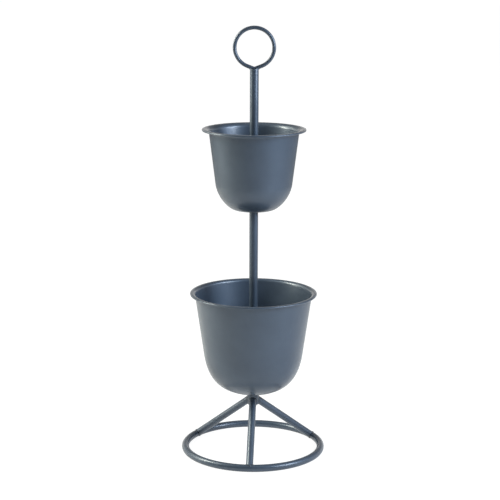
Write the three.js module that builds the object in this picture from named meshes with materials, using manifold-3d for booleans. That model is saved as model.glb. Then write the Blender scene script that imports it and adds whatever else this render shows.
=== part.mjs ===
// Two-tier metal plant stand: a tube ring and three tube legs carry a hub, and two bowls are
// threaded on one round pole that ends in a ring handle.
// Millimetres, +Z up. The origin is the centre of the base ring on the floor, the front leg
// points to -Y, and the handle ring lies in the XZ plane.
import * as THREE from "three";
import { mergeVertices } from "three/addons/utils/BufferGeometryUtils.js";
import Module from "manifold-3d";

const wasm = await Module();
wasm.setup();

// Base frame
const baseRingDiameter = 270; // outside of the ring
const frameTubeDiameter = 13.5; // ring and legs are the same tube
const frameTubeWall = 1.5;
const ventHoleDiameter = 5; // drilled in the ring under each leg
const ventDrillReach = 14; // how far the drilling runs up from the ring's centre line
const hubDiameter = 22;
const hubTopHeight = 113.3;
const hubChamfer = 3.5; // on its lower edge
const hubSkirt = 0.5; // hub left below the legs
const legDrop = 9.5; // the legs' axes cross on the pole's axis this far below the hub's top

// Pole
const poleDiameter = 16;
const poleWall = 1.5;
const lowerPoleLength = 344.6; // with its two end inserts
const upperPoleLength = 256; // with its foot insert

// Handle ring
const handleDiameter = 78.6; // outside of the ring
const handleRodDiameter = 7;
const handleRodSink = 0.6; // the rod's lowest centre point lies this far below the pole's end
const handleClosingAngle = THREE.MathUtils.degToRad(21); // each rod end runs straight from here

// Screwed joints
const studDiameter = 8;
const studChamfer = 1;
const studEngagement = 16; // thread length in a pole's foot
const lowerStudInHub = 24;
const insertLength = 24; // below or above its collar
const insertCollar = 3;
const gasketThickness = 1.5;
const washerDiameter = 24;
const washerThickness = 1.6;

// Bowls: spun from one sheet thickness, each with a rounded bottom and a lip that ends in a bead
const potWall = 1;
const lowerPot = {
  sideHeight: 191.2, // where the side meets the lip, above the underside of the floor
  lipWidth: 7.1, // along the lip, from the side to the middle of the bead
  taper: THREE.MathUtils.degToRad(8.2), // of the straight side
  shoulderDiameter: 185.7, // where the straight side ends
  shoulderHeight: 74.8,
  floorDiameter: 29.5,
  sideFullness: 0.364,
  floorFullness: 0.815,
};
const upperPot = {
  sideHeight: 149.8,
  lipWidth: 10.6,
  taper: THREE.MathUtils.degToRad(7.15),
  shoulderDiameter: 141.4,
  shoulderHeight: 47.8,
  floorDiameter: 69.3,
  sideFullness: 0.582,
  floorFullness: 0.248,
};
const lipDroop = THREE.MathUtils.degToRad(10); // the lip's fall below level towards its bead
const lipFlat = 0.2; // straight stretch of the lip between its curve and its bead
const beadDiameter = 3.4; // the lip's edge, rolled under

// Clearances
const weldGap = 0.3; // between a coped end and what it is welded to
const pressGap = 0.1; // between an insert and the tube round it
const threadGap = 0.15; // between a stud and a tapped hole
const holeGap = 0.5; // between a stud and a plain hole

// Facets
const ringSegments = 60;
const ringSides = 16;
const ringBoreSides = 8;
const potSegments = 48;
const tubeSegments = 24;
const roundingSteps = 7;
const lipCurveSteps = 7;
const beadSteps = 8;
const handleArcSteps = 44;
const handleSides = 12;
const mergeDistance = 1e-4;

// Heights and radii worked out from the sizes above
const frameTubeRadius = frameTubeDiameter / 2;
const baseRingRadius = baseRingDiameter / 2 - frameTubeRadius;
const hubRadius = hubDiameter / 2;
const legAxisHeight = hubTopHeight - legDrop;
const legSlope = Math.atan2(legAxisHeight - frameTubeRadius, baseRingRadius);
const legLength = Math.hypot(legAxisHeight - frameTubeRadius, baseRingRadius);
const poleRadius = poleDiameter / 2;
const poleBoreRadius = poleRadius - poleWall;
const studRadius = studDiameter / 2;
const tappedRadius = studRadius + threadGap;
const plainHoleRadius = studRadius + holeGap;
const beadRadius = beadDiameter / 2;
const lowerPotHeight = hubTopHeight + gasketThickness;
const lowerWasherHeight = lowerPotHeight + potWall;
const lowerPoleHeight = lowerWasherHeight + washerThickness;
const lowerPoleTop = lowerPoleHeight + lowerPoleLength;
const upperPotHeight = lowerPoleTop + gasketThickness;
const upperWasherHeight = upperPotHeight + potWall;
const upperPoleHeight = upperWasherHeight + washerThickness;
const upperPoleTop = upperPoleHeight + upperPoleLength;
const handleRodRadius = handleRodDiameter / 2;
const handleRadius = handleDiameter / 2 - handleRodRadius;
const handleApexHeight = upperPoleTop - handleRodSink;
const handleHeight = handleApexHeight + handleRadius / Math.cos(handleClosingAngle);

const slatePaint = { color: 0x55616f, roughness: 0.42, metalness: 0.25 };
const innerPaint = { color: 0x4d5a69, roughness: 0.48, metalness: 0.2 };
const zincPlate = { color: 0xb9bdc1, roughness: 0.35, metalness: 0.9 };
const blackRubber = { color: 0x1d1f21, roughness: 0.85, metalness: 0 };
const greyNylon = { color: 0x3a3f45, roughness: 0.6, metalness: 0 };

function solidOf(geometry) {
  const bare = geometry.clone();
  bare.deleteAttribute("normal");
  bare.deleteAttribute("uv");
  const merged = mergeVertices(bare, mergeDistance);
  return new wasm.Manifold(
    new wasm.Mesh({
      numProp: 3,
      vertProperties: merged.attributes.position.array,
      triVerts: new Uint32Array(merged.index.array),
    }),
  );
}

function geometryOf(solid) {
  const mesh = solid.getMesh();
  const geometry = new THREE.BufferGeometry();
  geometry.setAttribute("position", new THREE.BufferAttribute(mesh.vertProperties, 3));
  geometry.setIndex(new THREE.BufferAttribute(mesh.triVerts, 1));
  geometry.computeVertexNormals();
  return geometry;
}

// Turns an outline of [radius, height] points about the Z axis. The outline runs upwards on its
// outer side, and starts and ends on the axis.
function revolve(outline, segments) {
  const points = outline.map(([radius, height]) => new THREE.Vector2(radius, height));
  return new THREE.LatheGeometry(points, segments).rotateX(Math.PI / 2);
}

// The same for an outline that closes on itself round a hole.
function revolveLoop(outline, segments) {
  return revolve([...outline, outline[0]], segments);
}

function tube(outerRadius, boreRadius, length) {
  return revolveLoop(
    [
      [boreRadius, 0],
      [outerRadius, 0],
      [outerRadius, length],
      [boreRadius, length],
    ],
    tubeSegments,
  );
}

function cylinder(radius, length) {
  return revolve(
    [
      [0, 0],
      [radius, 0],
      [radius, length],
      [0, length],
    ],
    tubeSegments,
  );
}

// A regular section of the base ring, flat at its lowest side, so that the ring stands on a face.
function ringSection(radius, sides) {
  const corner = radius / Math.cos(Math.PI / sides);
  return Array.from({ length: sides }, (_, i) => {
    const angle = ((i + 0.5) * 2 * Math.PI) / sides - Math.PI / 2;
    return [baseRingRadius + corner * Math.cos(angle), frameTubeRadius + corner * Math.sin(angle)];
  });
}

// Moves a shape made along +Z onto a leg's axis in the +X half of the XZ plane, where +Z runs
// from the pole's axis down to the ring.
function alongLeg(geometry) {
  return geometry.rotateY(Math.PI / 2 + legSlope).translate(0, 0, legAxisHeight);
}

function baseRingGeometry() {
  const shell = solidOf(revolveLoop(ringSection(frameTubeRadius, ringSides), ringSegments));
  const bore = revolveLoop(ringSection(frameTubeRadius - frameTubeWall, ringBoreSides), ringSegments);
  let ring = shell.subtract(solidOf(bore));
  for (const { azimuth } of legs) {
    const drill = cylinder(ventHoleDiameter / 2, ventDrillReach);
    const placed = alongLeg(drill.translate(0, 0, legLength - ventDrillReach)).rotateZ(azimuth);
    ring = ring.subtract(solidOf(placed));
  }
  return geometryOf(ring);
}

// One leg towards +X: a tube coped to the hub at its upper end and to the ring at its foot.
function legGeometry() {
  const stock = alongLeg(tube(frameTubeRadius, frameTubeRadius - frameTubeWall, legLength));
  const hub = cylinder(hubRadius + weldGap, hubTopHeight);
  const ring = revolveLoop(ringSection(frameTubeRadius + weldGap, ringSides), ringSegments);
  return geometryOf(solidOf(stock).subtract(solidOf(hub)).subtract(solidOf(ring)));
}

// The hub reaches just below the line where the legs' undersides meet it.
function hubGeometry() {
  const legUnderside = legAxisHeight - hubRadius * Math.tan(legSlope) - frameTubeRadius / Math.cos(legSlope);
  const foot = legUnderside - hubSkirt;
  return revolveLoop(
    [
      [tappedRadius, foot],
      [hubRadius - hubChamfer, foot],
      [hubRadius, foot + hubChamfer],
      [hubRadius, hubTopHeight],
      [tappedRadius, hubTopHeight],
    ],
    tubeSegments,
  );
}

function studGeometry(length) {
  return revolve(
    [
      [0, 0],
      [studRadius - studChamfer, 0],
      [studRadius, studChamfer],
      [studRadius, length - studChamfer],
      [studRadius - studChamfer, length],
      [0, length],
    ],
    tubeSegments,
  );
}

// A tapped plug with a collar as wide as the pole, standing on its collar.
function insertGeometry() {
  const plugRadius = poleBoreRadius - pressGap;
  return revolveLoop(
    [
      [tappedRadius, 0],
      [poleRadius, 0],
      [poleRadius, insertCollar],
      [plugRadius, insertCollar],
      [plugRadius, insertCollar + insertLength],
      [tappedRadius, insertCollar + insertLength],
    ],
    tubeSegments,
  );
}

// The bowl's outer line from the edge of its floor up its side and along its lip to the bead,
// and the middle of that bead.
function potOuterLine(pot) {
  const floorRadius = pot.floorDiameter / 2;
  const shoulder = new THREE.Vector2(pot.shoulderDiameter / 2, pot.shoulderHeight);
  const side = new THREE.Vector2(Math.sin(pot.taper), Math.cos(pot.taper));
  const along = new THREE.Vector2(Math.cos(lipDroop), -Math.sin(lipDroop));
  const corner = shoulder.clone().addScaledVector(side, (pot.sideHeight - pot.shoulderHeight) / side.y);
  const rounding = new THREE.CubicBezierCurve(
    new THREE.Vector2(floorRadius, 0),
    new THREE.Vector2(floorRadius + (shoulder.x - floorRadius) * pot.floorFullness, 0),
    shoulder.clone().addScaledVector(side, -pot.shoulderHeight * pot.sideFullness),
    shoulder,
  );
  const inBead = beadRadius - potWall; // the underside passes this far above the bead's middle
  const beadReach = Math.sqrt(beadRadius ** 2 - inBead ** 2);
  const curveReach = pot.lipWidth - beadReach - lipFlat;
  const turn = side.angle() + lipDroop;
  const radius = curveReach / Math.tan(turn / 2);
  const centre = corner
    .clone()
    .addScaledVector(side, -curveReach)
    .add(new THREE.Vector2(side.y, -side.x).multiplyScalar(radius));
  const curve = Array.from({ length: lipCurveSteps + 1 }, (_, i) => {
    const angle = side.angle() + Math.PI / 2 - (turn * i) / lipCurveSteps;
    return new THREE.Vector2(Math.cos(angle), Math.sin(angle)).multiplyScalar(radius).add(centre);
  });
  const underside = corner.clone().addScaledVector(along, pot.lipWidth);
  const bead = new THREE.Vector2(along.y, -along.x).multiplyScalar(inBead).add(underside);
  const lipEnd = underside.addScaledVector(along, -beadReach);
  return { line: [...rounding.getPoints(roundingSteps), ...curve, lipEnd], bead };
}

// The bead from where the lip's underside meets it, under and round to the lip's upper face.
function beadLine(bead, lipEnd) {
  const first = lipEnd.clone().sub(bead).angle();
  const sweep = 2 * Math.PI + Math.PI / 2 - lipDroop - first;
  return Array.from({ length: beadSteps }, (_, i) => {
    const angle = first + (sweep * (i + 1)) / beadSteps;
    return new THREE.Vector2(Math.cos(angle), Math.sin(angle)).multiplyScalar(beadRadius).add(bead);
  });
}

// The same line moved inwards by the sheet's thickness, square to each stretch of the line.
function offsetInwards(line, thickness) {
  return line.map((point, i) => {
    const before = i > 0 ? point.clone().sub(line[i - 1]).normalize() : new THREE.Vector2(1, 0);
    const after = i < line.length - 1 ? line[i + 1].clone().sub(point).normalize() : before;
    const half = before.clone().add(after).normalize();
    const stretch = thickness / half.dot(before);
    return new THREE.Vector2(-half.y, half.x).multiplyScalar(stretch).add(point);
  });
}

function potGeometry(pot) {
  const { line, bead } = potOuterLine(pot);
  const outline = [...line, ...beadLine(bead, line.at(-1)), ...offsetInwards(line, potWall).reverse()];
  return revolveLoop(
    [[plainHoleRadius, 0], ...outline.map((point) => [point.x, point.y]), [plainHoleRadius, potWall]],
    potSegments,
  );
}

// A closed loop of rod in the XZ plane about the origin: most of a circle, closed at the bottom
// by two straight ends that meet at an angle.
function handleLoop(rodRadius) {
  const path = [new THREE.Vector2(0, -handleRadius / Math.cos(handleClosingAngle))];
  for (let i = 0; i <= handleArcSteps; i += 1) {
    const share = i / handleArcSteps;
    const angle = handleClosingAngle + share * 2 * (Math.PI - handleClosingAngle) - Math.PI / 2;
    path.push(new THREE.Vector2(Math.cos(angle), Math.sin(angle)).multiplyScalar(handleRadius));
  }
  const positions = [];
  const index = [];
  path.forEach((point, i) => {
    const previous = path.at(i - 1);
    const next = path[(i + 1) % path.length];
    const before = point.clone().sub(previous).normalize();
    const half = next.clone().sub(point).normalize().add(before).normalize();
    const stretch = rodRadius / half.dot(before);
    for (let k = 0; k < handleSides; k += 1) {
      const angle = (k * 2 * Math.PI) / handleSides;
      const out = stretch * Math.cos(angle);
      positions.push(point.x + half.y * out, rodRadius * Math.sin(angle), point.y - half.x * out);
      const nextRing = ((i + 1) % path.length) * handleSides;
      const ring = i * handleSides;
      const nextSide = (k + 1) % handleSides;
      index.push(ring + k, nextRing + nextSide, nextRing + k);
      index.push(ring + k, ring + nextSide, nextRing + nextSide);
    }
  });
  const geometry = new THREE.BufferGeometry();
  geometry.setAttribute("position", new THREE.Float32BufferAttribute(positions, 3));
  geometry.setIndex(index);
  geometry.computeVertexNormals();
  return geometry;
}

// The upper pole stands on its foot insert's collar, and its upper end is notched for the rod.
function upperPoleGeometry() {
  const stock = tube(poleRadius, poleBoreRadius, upperPoleLength - insertCollar);
  const notch = handleLoop(handleRodRadius + weldGap).translate(
    0,
    0,
    handleHeight - upperPoleHeight - insertCollar,
  );
  return geometryOf(solidOf(stock).subtract(solidOf(notch)));
}

const legs = [
  { name: "leg_front", azimuth: -Math.PI / 2 },
  { name: "leg_right", azimuth: Math.PI / 6 },
  { name: "leg_left", azimuth: (5 * Math.PI) / 6 },
];

const stand = new THREE.Group();

function add(name, geometry, finish, height = 0) {
  const mesh = new THREE.Mesh(geometry, new THREE.MeshStandardMaterial(finish));
  mesh.name = name;
  mesh.position.z = height;
  stand.add(mesh);
  return mesh;
}

// Base frame: one welded assembly
add("base_ring", baseRingGeometry(), slatePaint);
for (const { name, azimuth } of legs) {
  add(name, legGeometry(), slatePaint).rotation.z = azimuth;
}
add("base_hub", hubGeometry(), slatePaint);

// Lower bowl and the joint that holds it
const lowerStudLength = lowerStudInHub + lowerPoleHeight - hubTopHeight + studEngagement;
add("lower_stud", studGeometry(lowerStudLength), zincPlate, hubTopHeight - lowerStudInHub);
add("lower_gasket", tube(hubRadius, plainHoleRadius, gasketThickness), blackRubber, hubTopHeight);
add("lower_pot", potGeometry(lowerPot), innerPaint, lowerPotHeight);
add("lower_washer", tube(washerDiameter / 2, plainHoleRadius, washerThickness), greyNylon, lowerWasherHeight);

// Lower pole with an insert at each end
add("lower_pole_foot", insertGeometry(), slatePaint, lowerPoleHeight);
const lowerTubeLength = lowerPoleLength - 2 * insertCollar;
add("lower_pole", tube(poleRadius, poleBoreRadius, lowerTubeLength), slatePaint, lowerPoleHeight + insertCollar);
add("lower_pole_head", insertGeometry().rotateX(Math.PI), slatePaint, lowerPoleTop);

// Upper bowl and the joint that holds it
const upperStudStart = lowerPoleTop - insertCollar - insertLength;
const upperStudLength = upperPoleHeight + studEngagement - upperStudStart;
add("upper_stud", studGeometry(upperStudLength), zincPlate, upperStudStart);
add("upper_gasket", tube(poleRadius, plainHoleRadius, gasketThickness), blackRubber, lowerPoleTop);
add("upper_pot", potGeometry(upperPot), innerPaint, upperPotHeight);
add("upper_washer", tube(washerDiameter / 2, plainHoleRadius, washerThickness), greyNylon, upperWasherHeight);

// Upper pole and the ring handle welded on its end
add("upper_pole_foot", insertGeometry(), slatePaint, upperPoleHeight);
add("upper_pole", upperPoleGeometry(), slatePaint, upperPoleHeight + insertCollar);
add("handle_ring", handleLoop(handleRodRadius), slatePaint, handleHeight);

export default stand;
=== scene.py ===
import math
import bpy
import numpy as np
from mathutils import Matrix, Vector


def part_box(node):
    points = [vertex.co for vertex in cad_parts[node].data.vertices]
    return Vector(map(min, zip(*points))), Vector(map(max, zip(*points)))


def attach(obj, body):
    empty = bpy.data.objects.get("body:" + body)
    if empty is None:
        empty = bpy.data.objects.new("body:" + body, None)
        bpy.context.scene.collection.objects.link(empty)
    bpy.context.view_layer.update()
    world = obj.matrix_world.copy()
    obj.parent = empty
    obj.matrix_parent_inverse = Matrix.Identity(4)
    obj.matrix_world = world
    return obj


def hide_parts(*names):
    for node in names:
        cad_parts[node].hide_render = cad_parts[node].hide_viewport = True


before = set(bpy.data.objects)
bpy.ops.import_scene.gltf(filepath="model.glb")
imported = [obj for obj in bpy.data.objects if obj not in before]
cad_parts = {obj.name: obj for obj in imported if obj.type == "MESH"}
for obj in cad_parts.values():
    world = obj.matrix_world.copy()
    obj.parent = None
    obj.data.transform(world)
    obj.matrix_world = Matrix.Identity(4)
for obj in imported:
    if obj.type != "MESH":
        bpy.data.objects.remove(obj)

scene = bpy.context.scene
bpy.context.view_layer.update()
mm = 0.001  # metres in a millimetre
tau = 2 * math.pi

# Colours are linear. The paint is one slate blue all over the stand.
paintTones = {
    "deep": (0.067, 0.093, 0.132, 1),
    "light": (0.077, 0.107, 0.151, 1),
    "driftSize": 70 * mm,  # patches between the two colours
    "flake": 0.5,  # share of fine metal in the colour coat
    "specular": 0.25,
    "smooth": 0.47,  # roughness of the colour coat on its smoothest spots
    "rough": 0.56,
    "wipeSize": 22 * mm,  # patches between the two
    "coat": 1.0,
    "coatRoughness": 0.27,  # of the clear top of the powder coat
    "seamCreviceShade": 0.35,  # of the colour over the legs' welds: painted shade, standing for the shadow in the crevices where the legs meet the ring and the hub
    "peelSize": 1.3 * mm,  # grain of the powder coat
    "peelDepth": 0.003 * mm,
}
zincTones = {
    "dark": (0.38, 0.40, 0.42, 1), "light": (0.56, 0.58, 0.60, 1), "smooth": 0.26, "rough": 0.40,
    "grainSize": 3 * mm, "grainDetail": 3, "grainDepth": 0, "metallic": 1.0,
}
rubberTones = {
    "dark": (0.010, 0.010, 0.011, 1), "light": (0.020, 0.020, 0.022, 1), "smooth": 0.70, "rough": 0.85,
    "grainSize": 0.8 * mm, "grainDetail": 3, "grainDepth": 0.03 * mm, "metallic": 0.0,
}
nylonTones = {
    "dark": (0.030, 0.034, 0.040, 1), "light": (0.042, 0.047, 0.054, 1), "smooth": 0.42, "rough": 0.55,
    "grainSize": 1.6 * mm, "grainDetail": 2, "grainDepth": 0, "metallic": 0.0,
}
# The part of a noise that two tones are spread over
noiseSpan = {"colour": (0.35, 0.65), "gloss": (0.3, 0.7)}


def feed(tree, socket, value):
    if isinstance(value, bpy.types.NodeSocket):
        tree.links.new(value, socket)
    else:
        socket.default_value = value


def addNode(tree, kind, feeds=None, **settings):
    node = tree.nodes.new(kind)
    for key, value in settings.items():
        setattr(node, key, value)
    for key, value in (feeds or {}).items():
        feed(tree, node.inputs[key], value)
    return node


def maths(tree, operation, first, second=0.0):
    return addNode(tree, "ShaderNodeMath", {0: first, 1: second}, operation=operation).outputs[0]


def mapped(tree, value, source, target):
    ends = {"From Min": source[0], "From Max": source[1], "To Min": target[0], "To Max": target[1]}
    return addNode(tree, "ShaderNodeMapRange", {"Value": value, **ends}).outputs["Result"]


def emptyTree(owner):
    owner.use_nodes = True
    owner.node_tree.nodes.clear()
    return owner.node_tree


def newMaterial(name):
    material = bpy.data.materials.new(name)
    tree = emptyTree(material)
    shader = addNode(tree, "ShaderNodeBsdfPrincipled")
    addNode(tree, "ShaderNodeOutputMaterial", {"Surface": shader.outputs["BSDF"]})
    spot = addNode(tree, "ShaderNodeTexCoord").outputs["Object"]
    return material, tree, shader.inputs, spot


def noiseField(tree, spot, size, detail):
    feeds = {"Vector": spot, "Scale": 1 / size, "Detail": detail}
    return addNode(tree, "ShaderNodeTexNoise", feeds).outputs["Fac"]


def toneBetween(tree, factor, dark, light):
    ramp = addNode(tree, "ShaderNodeValToRGB", {"Fac": factor})
    for element, position, tone in zip(ramp.color_ramp.elements, noiseSpan["colour"], (dark, light)):
        element.position, element.color = position, tone
    return ramp.outputs["Color"]


def grainBump(tree, height, depth):
    feeds = {"Height": height, "Distance": depth, "Strength": 1.0}
    return addNode(tree, "ShaderNodeBump", feeds).outputs["Normal"]


def darker(colour, share):
    return (*(part * share for part in colour[:3]), 1)


# Satin powder coat: a fine orange peel, and colour and gloss that drift a little over the surface. Its shade
# darkens the whole colour, which gives the welds their painted shade
def powderCoat(name, shade):
    material, tree, inputs, spot = newMaterial(name)
    drift = noiseField(tree, spot, paintTones["driftSize"], 3)
    peel = noiseField(tree, spot, paintTones["peelSize"], 1.5)
    wipe = noiseField(tree, spot, paintTones["wipeSize"], 4)
    deep, light = darker(paintTones["deep"], shade), darker(paintTones["light"], shade)
    feed(tree, inputs["Base Color"], toneBetween(tree, drift, deep, light))
    gloss = mapped(tree, wipe, noiseSpan["gloss"], (paintTones["smooth"], paintTones["rough"]))
    feed(tree, inputs["Roughness"], gloss)
    feed(tree, inputs["Normal"], grainBump(tree, peel, paintTones["peelDepth"]))
    inputs["Metallic"].default_value = paintTones["flake"]
    inputs["Specular IOR Level"].default_value = paintTones["specular"]
    inputs["Coat Weight"].default_value = paintTones["coat"]
    inputs["Coat Roughness"].default_value = paintTones["coatRoughness"]
    return material


# Bare zinc, rubber and nylon: one grain sets colour, gloss and relief
def grained(name, tones):
    material, tree, inputs, spot = newMaterial(name)
    grain = noiseField(tree, spot, tones["grainSize"], tones["grainDetail"])
    feed(tree, inputs["Base Color"], toneBetween(tree, grain, tones["dark"], tones["light"]))
    gloss = mapped(tree, grain, noiseSpan["gloss"], (tones["smooth"], tones["rough"]))
    feed(tree, inputs["Roughness"], gloss)
    if tones["grainDepth"]:
        feed(tree, inputs["Normal"], grainBump(tree, grain, tones["grainDepth"]))
    inputs["Metallic"].default_value = tones["metallic"]
    return material


# A darkened copy of the paint for the frame's welds: painted shade of the crevices at the legs' ends
slate, shadedSeamSlate = powderCoat("slatePowderCoat", 1.0), powderCoat("shadedSeamPowderCoat", paintTones["seamCreviceShade"])
zinc, rubber = grained("zincPlate", zincTones), grained("blackRubber", rubberTones)
nylon = grained("greyNylon", nylonTones)
print("materials made")

# How fine the meshes are
fineness = {
    "roundingSteps": 5,
    "turned": 96,  # sides of a turned piece
    "bowl": 192,
    "thread": 48,
    "leg": 64,
    "ring": 48,
    "ringSteps": 256,
    "rod": 32,
    "rodSteps": 160,
    "merge": 0.002 * mm,  # points nearer than this become one
    "sharpAngle": 32,  # degrees between two faces that keep a sharp edge
    "copeAngle": 40,  # the same for the legs
}


def newTree(name, inputs):
    tree = bpy.data.node_groups.new(name, "GeometryNodeTree")
    tree.interface.new_socket("Geometry", in_out="INPUT", socket_type="NodeSocketGeometry")
    for label, kind in inputs.items():
        tree.interface.new_socket(label, in_out="INPUT", socket_type="NodeSocket" + kind)
    tree.interface.new_socket("Geometry", in_out="OUTPUT", socket_type="NodeSocketGeometry")
    return tree, addNode(tree, "NodeGroupInput").outputs


def closeTree(tree, geometry, material):
    real = addNode(tree, "GeometryNodeRealizeInstances", {"Geometry": geometry})
    smooth = addNode(tree, "GeometryNodeSetShadeSmooth", {"Geometry": real.outputs[0]})
    painted = addNode(tree, "GeometryNodeSetMaterial", {"Geometry": smooth.outputs[0], "Material": material})
    addNode(tree, "NodeGroupOutput", {"Geometry": painted.outputs[0]})
    return tree


# Turns an outline in the XZ plane round the Z axis. A thread is cut into all that reaches past its grooves.
def turnedTree():
    tree, given = newTree("turnedPiece", {
        "Around": "Int", "Crest Radius": "Float", "Thread Depth": "Float", "Thread Pitch": "Float",
        "Material": "Material"})
    points = addNode(tree, "GeometryNodeAttributeDomainSize", {
        "Geometry": given["Geometry"]}, component="MESH").outputs["Point Count"]
    columns = maths(tree, "ADD", given["Around"], 1.0)
    grid = addNode(tree, "GeometryNodeMeshGrid", {
        "Size X": 1.0, "Size Y": 1.0, "Vertices X": columns, "Vertices Y": points})
    position = addNode(tree, "GeometryNodeInputPosition").outputs[0]
    spot = addNode(tree, "ShaderNodeSeparateXYZ", {"Vector": position})
    turn = maths(tree, "ADD", spot.outputs["X"], 0.5)
    share = maths(tree, "ADD", spot.outputs["Y"], 0.5)
    index = maths(tree, "ROUND", maths(tree, "MULTIPLY", share, maths(tree, "SUBTRACT", points, 1.0)))
    outline = addNode(tree, "GeometryNodeSampleIndex", data_type="FLOAT_VECTOR", domain="POINT")
    feed(tree, outline.inputs["Geometry"], given["Geometry"])
    feed(tree, outline.inputs["Value"], position)
    feed(tree, outline.inputs["Index"], index)
    profile = addNode(tree, "ShaderNodeSeparateXYZ", {"Vector": outline.outputs["Value"]}).outputs
    phase = maths(tree, "SUBTRACT", maths(tree, "DIVIDE", profile["Z"], given["Thread Pitch"]), turn)
    groove = maths(tree, "MULTIPLY", maths(tree, "PINGPONG", phase, 0.5), 2.0)
    cut = maths(tree, "MULTIPLY", given["Thread Depth"], groove)
    radius = maths(tree, "MINIMUM", profile["X"], maths(tree, "SUBTRACT", given["Crest Radius"], cut))
    angle = maths(tree, "MULTIPLY", turn, tau)
    moved = addNode(tree, "ShaderNodeCombineXYZ")
    feed(tree, moved.inputs["X"], maths(tree, "MULTIPLY", radius, maths(tree, "COSINE", angle)))
    feed(tree, moved.inputs["Y"], maths(tree, "MULTIPLY", radius, maths(tree, "SINE", angle)))
    feed(tree, moved.inputs["Z"], profile["Z"])
    skin = addNode(tree, "GeometryNodeSetPosition", {
        "Geometry": grid.outputs["Mesh"], "Position": moved.outputs[0]})
    closed = addNode(tree, "GeometryNodeMergeByDistance", {
        "Geometry": skin.outputs[0], "Distance": fineness["merge"]})
    return closeTree(tree, closed.outputs[0], given["Material"])


def sweepRound(tree, line, around, radius, material):
    section = addNode(tree, "GeometryNodeCurvePrimitiveCircle", {"Resolution": around, "Radius": radius})
    swept = addNode(tree, "GeometryNodeCurveToMesh", {
        "Curve": line, "Profile Curve": section.outputs[0], "Fill Caps": True})
    return closeTree(tree, swept.outputs[0], material)


# Runs round stock along a line, open or closed
def rodTree():
    tree, given = newTree("bentRod", {"Radius": "Float", "Around": "Int", "Material": "Material"})
    line = addNode(tree, "GeometryNodeMeshToCurve", {"Mesh": given["Geometry"]})
    return sweepRound(tree, line.outputs[0], given["Around"], given["Radius"], given["Material"])


# A bead's width is its least share, plus up to half of the ripple's, plus or minus some unevenness
weldSizes = {
    "around": 10,
    "stepsPerRipple": 6.0,
    "least": 0.86,
    "ripple": 0.22,
    "noiseScale": 420.0,
    "frame": {"Bead Radius": 0.9 * mm, "Ripple Pitch": 1.6 * mm, "Unevenness": 0.5, "Seed": 3.0},
    "handle": {"Bead Radius": 1.1 * mm, "Ripple Pitch": 1.4 * mm, "Unevenness": 0.5, "Seed": 8.0},
}


# Lays a weld along a seam: overlapping ripples of uneven size
def weldTree():
    tree, given = newTree("weldBead", {
        "Bead Radius": "Float", "Ripple Pitch": "Float", "Unevenness": "Float", "Seed": "Float",
        "Material": "Material"})
    line = addNode(tree, "GeometryNodeMeshToCurve", {"Mesh": given["Geometry"]})
    step = maths(tree, "DIVIDE", given["Ripple Pitch"], weldSizes["stepsPerRipple"])
    fine = addNode(tree, "GeometryNodeResampleCurve", {
        "Curve": line.outputs[0], "Length": step}, mode="LENGTH")
    along = addNode(tree, "GeometryNodeSplineParameter").outputs["Length"]
    ripple = maths(tree, "PINGPONG", maths(tree, "DIVIDE", along, given["Ripple Pitch"]), 0.5)
    noise = addNode(tree, "ShaderNodeTexNoise", {
        "W": given["Seed"], "Scale": weldSizes["noiseScale"], "Detail": 1.0}, noise_dimensions="4D")
    uneven = maths(tree, "MULTIPLY", maths(tree, "SUBTRACT", noise.outputs["Fac"], 0.5), given["Unevenness"])
    even = maths(tree, "ADD", maths(tree, "MULTIPLY", ripple, weldSizes["ripple"]), weldSizes["least"])
    sized = addNode(tree, "GeometryNodeSetCurveRadius", {
        "Curve": fine.outputs[0], "Radius": maths(tree, "ADD", even, uneven)})
    return sweepRound(tree, sized.outputs[0], weldSizes["around"], given["Bead Radius"], given["Material"])


turnedPieceTree, bentRodTree, weldBeadTree = turnedTree(), rodTree(), weldTree()


def newPiece(name, points, edges, faces):
    mesh = bpy.data.meshes.new(name)
    mesh.from_pydata(points, edges, faces)
    piece = bpy.data.objects.new(name, mesh)
    scene.collection.objects.link(piece)
    return piece


def lineObject(name, lines, closed):
    points, edges = [], []
    for line in lines:
        start, count = len(points), len(line)
        points += [tuple(point) for point in line]
        edges += [(start + i, start + (i + 1) % count) for i in range(count if closed else count - 1)]
    return newPiece(name, points, edges, [])


# Runs a tree on lines and keeps the result as a plain mesh
def grow(name, tree, lines, values, closed=True):
    piece = lineObject(name, lines, closed)
    modifier = piece.modifiers.new(name, "NODES")
    modifier.node_group = tree
    for item in tree.interface.items_tree:
        if item.in_out == "INPUT" and item.name in values:
            modifier[item.identifier] = values[item.name]
    bpy.context.view_layer.update()
    evaluated = piece.evaluated_get(bpy.context.evaluated_depsgraph_get())
    mesh = bpy.data.meshes.new_from_object(evaluated)
    piece.modifiers.clear()
    piece.data = mesh
    finishMesh(mesh, fineness["sharpAngle"])
    return piece


# Turns the faces to point out and marks the sharp edges
def finishMesh(mesh, sharpAngle):
    corners = np.empty(len(mesh.vertices) * 3)
    mesh.vertices.foreach_get("co", corners)
    corners = corners.reshape(-1, 3)
    mesh.calc_loop_triangles()
    index = np.empty(len(mesh.loop_triangles) * 3, int)
    mesh.loop_triangles.foreach_get("vertices", index)
    a, b, c = (corners[index[k::3]] for k in range(3))
    if np.einsum("ij,ij->i", a, np.cross(b, c)).sum() < 0:
        mesh.flip_normals()
    mesh.set_sharp_from_angle(angle=math.radians(sharpAngle))


def place(piece, body, nodes):
    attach(piece, body)
    if nodes:
        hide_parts(*nodes)


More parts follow.
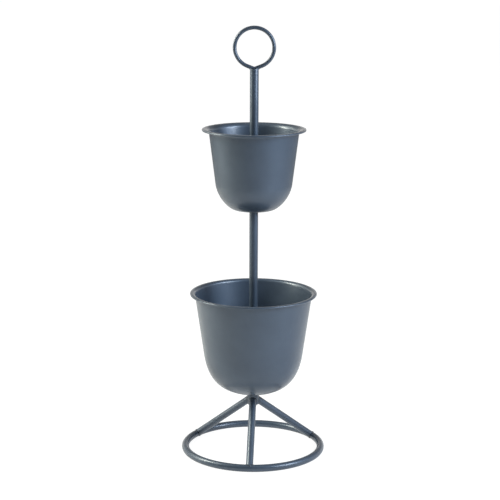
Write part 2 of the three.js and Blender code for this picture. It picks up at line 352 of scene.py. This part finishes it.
# Closes an outline of (radius, height, rounding) corners and rounds them
def rounded(corners):
    points, steps = [], fineness["roundingSteps"]
    for i, (x, z, rounding) in enumerate(corners):
        here = Vector((x, z))
        if rounding == 0:
            points.append(here)
            continue
        before = Vector(corners[i - 1][:2]) - here
        after = Vector(corners[(i + 1) % len(corners)][:2]) - here
        before.normalize()
        after.normalize()
        half = before.angle(after) / 2
        reach = rounding / math.tan(half)
        centre = here + (before + after).normalized() * (rounding / math.sin(half))
        first = here + before * reach - centre
        sweep = first.angle_signed(here + after * reach - centre)
        for k in range(steps + 1):
            arm = Vector(first)
            arm.rotate(Matrix.Rotation(-sweep * k / steps, 2))
            points.append(centre + arm)
    points.append(points[0])
    return [(point.x, 0, point.y) for point in points]


# A crest that nothing reaches, for pieces with no thread
plainThread = {"Crest Radius": 1.0, "Thread Depth": 0.0, "Thread Pitch": 1 * mm}


def turned(name, outline, body, node, material, around=fineness["turned"], thread=None):
    values = {"Around": around, "Material": material} | (thread or plainThread)
    piece = grow(name, turnedPieceTree, [outline], values, closed=False)
    place(piece, body, [node])


# The lowest and the highest point of one of the frame's nodes
def spanOf(node):
    low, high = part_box(node)
    return low.z, high.z


# Base frame
baseSizes = {
    "ringRadius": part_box("base_ring")[1].x,
    "tubeRadius": (spanOf("base_ring")[1] - spanOf("base_ring")[0]) / 2,
    "hubRadius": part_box("base_hub")[1].x,
    "legDrop": 9.5 * mm,  # the legs' axes meet this far below the hub's top
    "legAzimuths": {"leg_front": -90, "leg_right": 30, "leg_left": 150},
    "legSink": 0.5 * mm,  # how far a coped end runs into its neighbour
    "capSink": 2 * mm,  # and the middle of its cap
    "seekSteps": 400,
    "hubChamfer": 3.5 * mm,
    "hubEdge": 0.5 * mm,
    "chamferEdge": 0.8 * mm,
    "boreRadius": 4.15 * mm,
}
tubeRadius = baseSizes["tubeRadius"]
ringMiddle = baseSizes["ringRadius"] - tubeRadius
hubLow, hubTop = spanOf("base_hub")
legStart = Vector((0, 0, hubTop - baseSizes["legDrop"]))
legEnd = Vector((ringMiddle, 0, tubeRadius))
legLine = (legEnd - legStart).normalized()
legLength = (legEnd - legStart).length


# A point of the leg's skin beside its start, from which a straight line runs down along it
def legSkin(angle):
    up = Vector((-legLine.z, 0, legLine.x))
    return legStart + (up * math.cos(angle) + Vector((0, 1, 0)) * math.sin(angle)) * tubeRadius


def ringDepth(point):
    return math.hypot(math.hypot(point.x, point.y) - ringMiddle, point.z - tubeRadius) - tubeRadius


# Where such a line meets the ring and the hub, as lengths from its start
def meetsRing(start):
    lengths = np.linspace(legLength - 3 * tubeRadius, legLength + tubeRadius, baseSizes["seekSteps"])
    depths = [ringDepth(start + legLine * t) for t in lengths]
    inside = next((i for i, depth in enumerate(depths) if depth <= 0), int(np.argmin(depths)))
    return lengths[inside]


def meetsHub(start):
    across = math.sqrt(baseSizes["hubRadius"] ** 2 - start.y ** 2)
    return (across - start.x) / legLine.x


def turnedTo(points, azimuth):
    return [Matrix.Rotation(azimuth, 3, "Z") @ point for point in points]


def ringPath(radius, height, steps):
    angles = [tau * i / steps for i in range(steps)]
    return [(radius * math.cos(angle), radius * math.sin(angle), height) for angle in angles]


floorRing = grow("floorRing", bentRodTree, [ringPath(ringMiddle, tubeRadius, fineness["ringSteps"])],
                 {"Radius": tubeRadius, "Around": fineness["ring"], "Material": slate})
place(floorRing, "base", ["base_ring"])

footSeams, hubSeams = [], []
legSink, capSink = baseSizes["legSink"], baseSizes["capSink"]
for node, degrees in baseSizes["legAzimuths"].items():
    azimuth, count = math.radians(degrees), fineness["leg"]
    tops, feet, footSeam, hubSeam = [], [], [], []
    for i in range(count):
        start = legSkin(tau * i / count)
        hubAt, ringAt = meetsHub(start), meetsRing(start)
        tops.append(start + legLine * (hubAt - legSink))
        feet.append(start + legLine * (ringAt + legSink))
        footSeam.append(start + legLine * ringAt)
        hubSeam.append(start + legLine * hubAt)
    topCentre = legStart + legLine * (baseSizes["hubRadius"] / legLine.x - capSink)
    footCentre = legStart + legLine * (legLength - tubeRadius + capSink)
    faces = []
    for i in range(count):
        j = (i + 1) % count
        faces += [(i, j, count + j, count + i), (j, i, 2 * count), (count + i, count + j, 2 * count + 1)]
    leg = newPiece(node + "_tube", turnedTo([*tops, *feet, topCentre, footCentre], azimuth), [], faces)
    leg.data.materials.append(slate)
    leg.data.shade_smooth()
    finishMesh(leg.data, fineness["copeAngle"])
    place(leg, "base", [node])
    footSeams.append(turnedTo(footSeam, azimuth))
    hubSeams.append(turnedTo(hubSeam, azimuth))

# The welds at the legs' ends take the darkened paint: painted shade in the crevices round them
frameWelds = grow("frameWelds", weldBeadTree, footSeams + hubSeams,
                  weldSizes["frame"] | {"Material": shadedSeamSlate})
place(frameWelds, "base", [])

hubRadius, chamfer, bore = baseSizes["hubRadius"], baseSizes["hubChamfer"], baseSizes["boreRadius"]
hubOutline = rounded([
    (bore, hubLow, 0), (hubRadius - chamfer, hubLow, baseSizes["hubEdge"]),
    (hubRadius, hubLow + chamfer, baseSizes["chamferEdge"]), (hubRadius, hubTop, baseSizes["hubEdge"]),
    (bore, hubTop, 0)])
turned("hub", hubOutline, "base", "base_hub", slate)
print("base frame made")

# Studs with a rolled M8 thread
studSizes = {
    "crest": 3.97 * mm,
    "blank": 3.99 * mm,  # radius that the thread is cut into
    "depth": 0.62 * mm,
    "pitch": 1.25 * mm,
    "chamfer": 1 * mm,
    "rowsPerPitch": 10,
}


def studOutline(low, high):
    radius, edge = studSizes["blank"], studSizes["chamfer"]
    rows = int((high - low - 2 * edge) / studSizes["pitch"] * studSizes["rowsPerPitch"])
    body = [(radius, 0, low + edge + (high - low - 2 * edge) * i / rows) for i in range(rows + 1)]
    return [(0, 0, low), (radius - edge, 0, low), *body, (radius - edge, 0, high), (0, 0, high)]


thread = {
    "Crest Radius": studSizes["crest"],
    "Thread Depth": studSizes["depth"],
    "Thread Pitch": studSizes["pitch"],
}
for node, body in (("lower_stud", "base"), ("upper_stud", "lower_section")):
    turned(node + "_threaded", studOutline(*spanOf(node)), body, node, zinc,
           fineness["thread"], thread)

# Gaskets and washers round the studs
softSizes = {"hole": 4.5 * mm, "rubberRounding": 0.35 * mm, "nylonRounding": 0.45 * mm}
hole = softSizes["hole"]
for node, body, slotName, material, rounding in (
        ("lower_gasket", "base", "black_rubber", rubber, softSizes["rubberRounding"]),
        ("upper_gasket", "lower_section", "black_rubber", rubber, softSizes["rubberRounding"]),
        ("lower_washer", "lower_lift", "grey_nylon", nylon, softSizes["nylonRounding"]),
        ("upper_washer", "upper_lift", "grey_nylon", nylon, softSizes["nylonRounding"])):
    low, high = spanOf(node)
    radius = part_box(node)[1].x
    corners = [(hole, low, rounding / 2), (radius, low, rounding),
               (radius, high, rounding), (hole, high, rounding / 2)]
    turned(node + "_ring", rounded(corners), body, node, material)
print("studs, gaskets and washers made")

# Pole tubes and the tapped inserts in their ends
poleSizes = {
    "radius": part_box("lower_pole")[1].x,
    "wall": 1.5 * mm,
    "collar": 3 * mm,
    "edge": 0.45 * mm,
    "press": 0.1 * mm,  # room round an insert
}
poleRadius, poleEdge = poleSizes["radius"], poleSizes["edge"]
poleBore = poleRadius - poleSizes["wall"]


def insertOutline(low, high, headDown):
    plug, collar = poleBore - poleSizes["press"], poleSizes["collar"]
    if headDown:
        return rounded([(bore, low, 0), (poleRadius, low, poleEdge), (poleRadius, low + collar, poleEdge),
                        (plug, low + collar, 0), (plug, high, poleEdge), (bore, high, 0)])
    return rounded([(bore, low, 0), (plug, low, poleEdge), (plug, high - collar, 0),
                    (poleRadius, high - collar, poleEdge), (poleRadius, high, poleEdge), (bore, high, 0)])


for node, body, headDown in (
        ("lower_pole_foot", "lower_section", True), ("lower_pole_head", "lower_section", False),
        ("upper_pole_foot", "upper_section", True)):
    outline = insertOutline(*spanOf(node), headDown)
    turned(node + "_insert", outline, body, node, slate)

for node, body in (("lower_pole", "lower_section"), ("upper_pole", "upper_section")):
    low, high = spanOf(node)
    corners = [(poleBore, low, 0), (poleRadius, low, poleEdge),
               (poleRadius, high, poleEdge), (poleBore, high, poleEdge)]
    turned(node + "_tube", rounded(corners), body, node, slate)
print("poles made")

# Bowls: spun sheet with a lip whose edge is rolled under into a bead
sheet = 1 * mm
lipSizes = {"droop": math.radians(10), "flat": 0.2 * mm, "bead": 1.7 * mm}
bowlSizes = {
    "lower_pot": {
        "body": "base", "sideHeight": 191.2 * mm, "lipWidth": 7.1 * mm, "taper": math.radians(8.2),
        "shoulderRadius": 92.85 * mm, "shoulderHeight": 74.8 * mm, "floorRadius": 14.75 * mm,
        "sideFullness": 0.364, "floorFullness": 0.815},
    "upper_pot": {
        "body": "lower_section", "sideHeight": 149.8 * mm, "lipWidth": 10.6 * mm, "taper": math.radians(7.15),
        "shoulderRadius": 70.7 * mm, "shoulderHeight": 47.8 * mm, "floorRadius": 34.65 * mm,
        "sideFullness": 0.582, "floorFullness": 0.248},
}
bowlShares = {  # where the outline's points lie along each of its stretches
    "round": np.linspace(0, 1, 41),
    "side": np.linspace(0.04, 0.96, 24),
    "lip": np.linspace(0, 1, 37),
    "bead": [k / 28 for k in range(1, 29)],
}


def direction(angle):
    return Vector((math.cos(angle), math.sin(angle)))


# The bowl's outside from its floor along its lip, as points with the direction of travel, and the middle of
# the bead
def bowlLine(sizes):
    side = direction(math.pi / 2 - sizes["taper"])
    a = Vector((sizes["floorRadius"], 0))
    d = Vector((sizes["shoulderRadius"], sizes["shoulderHeight"]))
    b = a + Vector(((d.x - a.x) * sizes["floorFullness"], 0))
    c = d - side * d.y * sizes["sideFullness"]
    line = []
    for t in bowlShares["round"]:
        s = 1 - t
        point = a * s ** 3 + b * 3 * s * s * t + c * 3 * s * t * t + d * t ** 3
        travel = (b - a) * s * s + (c - b) * 2 * s * t + (d - c) * t * t
        line.append((point, travel.normalized()))
    droop, bead = lipSizes["droop"], lipSizes["bead"]
    corner = d + side * ((sizes["sideHeight"] - d.y) / side.y)
    beadReach = math.sqrt(bead ** 2 - (bead - sheet) ** 2)
    curveReach = sizes["lipWidth"] - beadReach - lipSizes["flat"]
    turn = math.pi / 2 - sizes["taper"] + droop
    radius = curveReach / math.tan(turn / 2)
    arcStart = corner - side * curveReach
    centre = arcStart + Vector((side.y, -side.x)) * radius
    for share in bowlShares["side"]:
        line.append((d.lerp(arcStart, share), side))
    for share in bowlShares["lip"]:
        angle = math.pi - sizes["taper"] - turn * share
        line.append((centre + direction(angle) * radius, direction(angle - math.pi / 2)))
    lip = direction(-droop)
    underside = corner + lip * sizes["lipWidth"]
    beadMiddle = underside - direction(math.pi / 2 - droop) * (bead - sheet)
    line.append((underside - lip * beadReach, lip))
    return line, beadMiddle


def bowlOutline(node):
    line, beadMiddle = bowlLine(bowlSizes[node])
    outer = [point for point, travel in line]
    inner = [point + Vector((-travel.y, travel.x)) * sheet for point, travel in line]
    first = math.atan2(*reversed(outer[-1] - beadMiddle))
    last = math.pi / 2 - lipSizes["droop"] + tau
    angles = [first + (last - first) * share for share in bowlShares["bead"]]
    bead = [beadMiddle + direction(angle) * lipSizes["bead"] for angle in angles]
    bottom = spanOf(node)[0]
    points = [Vector((hole, 0)), *outer, *bead, *reversed(inner), Vector((hole, sheet)), Vector((hole, 0))]
    return [(point.x, 0, point.y + bottom) for point in points]


for node, sizes in bowlSizes.items():
    turned(node + "_bowl", bowlOutline(node), sizes["body"], node, slate, fineness["bowl"])
print("bowls made")

# Ring handle: one rod bent to a ring, its two straight ends meeting over the pole. A weld wraps under the rod
# where it crosses the pole's wall, on each side.
handleSizes = {
    "rodRadius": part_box("handle_ring")[1].y,
    "closing": math.radians(21),  # each end runs straight from here
    "tipRounding": 2.5 * mm,
    "tipSteps": 9,
    "seamInset": 3.2 * mm,  # of the weld's ends from the pole's outside
    "seamReach": 3.4 * mm,
    "seamRise": 0.3 * mm,  # of the weld's ends over the pole's top
    "seamDrop": 1.3 * mm,
    "seamSteps": 17,
}
rodRadius, closing = handleSizes["rodRadius"], handleSizes["closing"]
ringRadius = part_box("handle_ring")[1].x - rodRadius
handleMiddle = spanOf("handle_ring")[1] - rodRadius - ringRadius
upperPoleTop = spanOf("upper_pole")[1]


def handlePath():
    tip, reach = -ringRadius / math.cos(closing), handleSizes["tipRounding"]
    path = []
    # The two ends run into each other in a short curve
    for share in np.linspace(-1, 1, handleSizes["tipSteps"]):
        x = share * reach
        rise = (x ** 2 + reach ** 2) / (2 * reach) * math.tan(closing)
        path.append((x, 0, handleMiddle + tip + rise))
    for share in np.linspace(0, 1, fineness["rodSteps"] + 1):
        angle = closing + share * 2 * (math.pi - closing) - math.pi / 2
        path.append((ringRadius * math.cos(angle), 0, handleMiddle + ringRadius * math.sin(angle)))
    return path


def handleSeam(sign):
    seam = []
    for share in np.linspace(-1, 1, handleSizes["seamSteps"]):
        along, across = math.cos(share * math.pi / 2), math.sin(share * math.pi / 2)
        x = poleRadius - handleSizes["seamInset"] + handleSizes["seamReach"] * along
        z = upperPoleTop + handleSizes["seamRise"] - handleSizes["seamDrop"] * along
        seam.append((sign * x, rodRadius * across, z))
    return seam


handle = grow("handleRing", bentRodTree, [handlePath()],
              {"Radius": rodRadius, "Around": fineness["rod"], "Material": slate})
place(handle, "upper_section", ["handle_ring"])
handleWelds = grow("handleWelds", weldBeadTree, [handleSeam(1), handleSeam(-1)],
                   weldSizes["handle"] | {"Material": slate}, closed=False)
place(handleWelds, "upper_section", [])
print("handle made")

# Floor, backdrop and lights
stageSizes = {
    "floor": 80.0,
    "paperTones": ((0.80, 0.80, 0.80, 1), (0.84, 0.84, 0.84, 1)),
    "paperGrain": 20 * mm,
    "whiteShare": 0.75,  # of the floor's look that is plain white, the rest takes the stand's shadow
    "glow": (1.26, 1.36),  # near the stand and far from it
    "mirrored": (0.5, 0.15),  # share of that glow that the paint mirrors, near and far
    "pool": (0.5, 2.6),  # metres from the stand between which both change
    "ambient": 0.01,
    "ambientTint": (0.93, 0.96, 1.0, 1),
    "backdrop": 1.06,
    "backdropTint": (1.0, 0.98, 0.95, 1),
    "darkSide": 0.12,  # of the room behind the camera, as the paint mirrors it
    "sideEdge": (-0.7, 0.1),  # from it to the backdrop, along Y of a ray's direction
    "darkTop": 0.25,  # of the room above the backdrop
    "topEdge": (0.15, 0.3),  # from the backdrop to it, along Z
    "aimHeight": 0.42,
}


# How much of the white a ray meets: all when it comes straight from the camera, a share when it is mirrored
def seenShare(tree, mirroredShare):
    rays = addNode(tree, "ShaderNodeLightPath").outputs
    straight = maths(tree, "MAXIMUM", rays["Is Camera Ray"], rays["Is Transmission Ray"])
    return maths(tree, "MAXIMUM", straight, maths(tree, "MULTIPLY", rays["Is Glossy Ray"], mirroredShare))


def mixedShader(tree, share, first, second):
    feeds = {0: share, 1: first.outputs[0], 2: second.outputs[0]}
    return addNode(tree, "ShaderNodeMixShader", feeds).outputs[0]


def floorMaterial():
    material = bpy.data.materials.new("paleFloor")
    tree = emptyTree(material)
    spot = addNode(tree, "ShaderNodeTexCoord").outputs["Object"]
    grain = noiseField(tree, spot, stageSizes["paperGrain"], 3)
    tone = toneBetween(tree, grain, *stageSizes["paperTones"])
    paper = addNode(tree, "ShaderNodeBsdfDiffuse", {"Color": tone})
    reach = addNode(tree, "ShaderNodeVectorMath", {0: spot}, operation="LENGTH").outputs["Value"]
    glow = addNode(tree, "ShaderNodeEmission", {
        "Strength": mapped(tree, reach, stageSizes["pool"], stageSizes["glow"])})
    seen = seenShare(tree, mapped(tree, reach, stageSizes["pool"], stageSizes["mirrored"]))
    white = maths(tree, "MULTIPLY", seen, stageSizes["whiteShare"])
    addNode(tree, "ShaderNodeOutputMaterial", {"Surface": mixedShader(tree, white, paper, glow)})
    return material


# The backdrop is white wherever it is seen, and mirrored rays meet it on all sides but the camera's
def studioWorld():
    world = bpy.data.worlds.new("studio")
    tree = emptyTree(world)
    direct = addNode(tree, "ShaderNodeTexCoord").outputs["Generated"]
    toward = addNode(tree, "ShaderNodeSeparateXYZ", {"Vector": direct}).outputs
    sides = mapped(tree, toward["Y"], stageSizes["sideEdge"], (stageSizes["darkSide"], 1.0))
    height = mapped(tree, toward["Z"], stageSizes["topEdge"], (1.0, stageSizes["darkTop"]))
    ambient = addNode(tree, "ShaderNodeBackground", {
        "Color": stageSizes["ambientTint"], "Strength": stageSizes["ambient"]})
    white = addNode(tree, "ShaderNodeBackground", {
        "Color": stageSizes["backdropTint"], "Strength": stageSizes["backdrop"]})
    seen = seenShare(tree, maths(tree, "MULTIPLY", sides, height))
    addNode(tree, "ShaderNodeOutputWorld", {"Surface": mixedShader(tree, seen, ambient, white)})
    return world


half = stageSizes["floor"] / 2
floorCorners = [(-half, -half, 0), (half, -half, 0), (half, half, 0), (-half, half, 0)]
floor = newPiece("floor", floorCorners, [], [(0, 1, 2, 3)])
floor.data.materials.append(floorMaterial())
scene.world = studioWorld()

# Soft boxes round the stand. A spot is the bearing from the camera's side, plus to the right, the distance
# and the height.
lampSizes = {
    "rightLowBox": {"spot": (60, 1.6, 0.95), "face": (0.4, 0.6), "power": 10.8, "tint": (0.78, 0.88, 1.0)},
    "rightHighBox": {"spot": (57, 1.6, 1.5), "face": (0.5, 0.6), "power": 14.3, "tint": (0.71, 0.84, 0.97)},
    "rightSideBox": {"spot": (75, 1.6, 1.1), "face": (0.4, 0.6), "power": 9.5, "tint": (0.74, 0.85, 1.0)},
    "leftBox": {"spot": (-90, 1.6, 1.4), "face": (0.4, 1.0), "power": 33, "tint": (1.0, 1.0, 0.87)},
    "leftBackBox": {"spot": (-120, 1.6, 1.4), "face": (0.4, 1.0), "power": 3.5, "tint": (1.0, 0.97, 0.8)},
    "leftLowBox": {"spot": (-90, 1.6, 0.5), "face": (0.6, 0.4), "power": 3.2, "tint": (1.0, 1.0, 0.85)},
    "topBox": {"spot": (0, 0.1, 2.2), "face": (1.2, 1.2), "power": 1.5, "tint": (1.0, 0.92, 0.84)},
}
aim = Vector((0, 0, stageSizes["aimHeight"]))
for name, sizes in lampSizes.items():
    lamp = bpy.data.lights.new(name, "AREA")
    lamp.shape = "RECTANGLE"
    lamp.size, lamp.size_y = sizes["face"]
    lamp.energy, lamp.color = sizes["power"], sizes["tint"]
    bearing, distance, height = math.radians(sizes["spot"][0]), *sizes["spot"][1:]
    spot = Vector((distance * math.sin(bearing), -distance * math.cos(bearing), height))
    lampObject = bpy.data.objects.new(name, lamp)
    lampObject.location = spot
    lampObject.rotation_euler = (aim - spot).to_track_quat("-Z", "Y").to_euler()
    scene.collection.objects.link(lampObject)

# Camera, from the fit of the photograph's circles. Angles are in degrees.
cameraSizes = {
    "focalPixels": 1540,
    "framePixels": 500,
    "sensor": 36,
    "distance": 2.7915,
    "height": 0.9854,
    "bearing": 2.75,
    "pitch": 12.11,
    "roll": 0.2,
    "axisPixel": 253.7,  # column of the frame where the pole's axis lies
}
camera = bpy.data.cameras.new("camera")
camera.sensor_width = cameraSizes["sensor"]
camera.lens = cameraSizes["focalPixels"] / cameraSizes["framePixels"] * cameraSizes["sensor"]
cameraObject = bpy.data.objects.new("camera", camera)
bearing, distance = math.radians(cameraSizes["bearing"]), cameraSizes["distance"]
cameraObject.location = (distance * math.sin(bearing), -distance * math.cos(bearing), cameraSizes["height"])
offAxis = math.atan((cameraSizes["axisPixel"] - cameraSizes["framePixels"] / 2) / cameraSizes["focalPixels"])
heading = Matrix.Rotation(bearing + offAxis, 3, "Z")
tilt = Matrix.Rotation(math.pi / 2 - math.radians(cameraSizes["pitch"]), 3, "X")
roll = Matrix.Rotation(math.radians(cameraSizes["roll"]), 3, "Z")
cameraObject.rotation_euler = (heading @ tilt @ roll).to_euler()
scene.collection.objects.link(cameraObject)
scene.camera = cameraObject
scene.view_settings.view_transform = "Standard"
print("stage, lights and camera set")
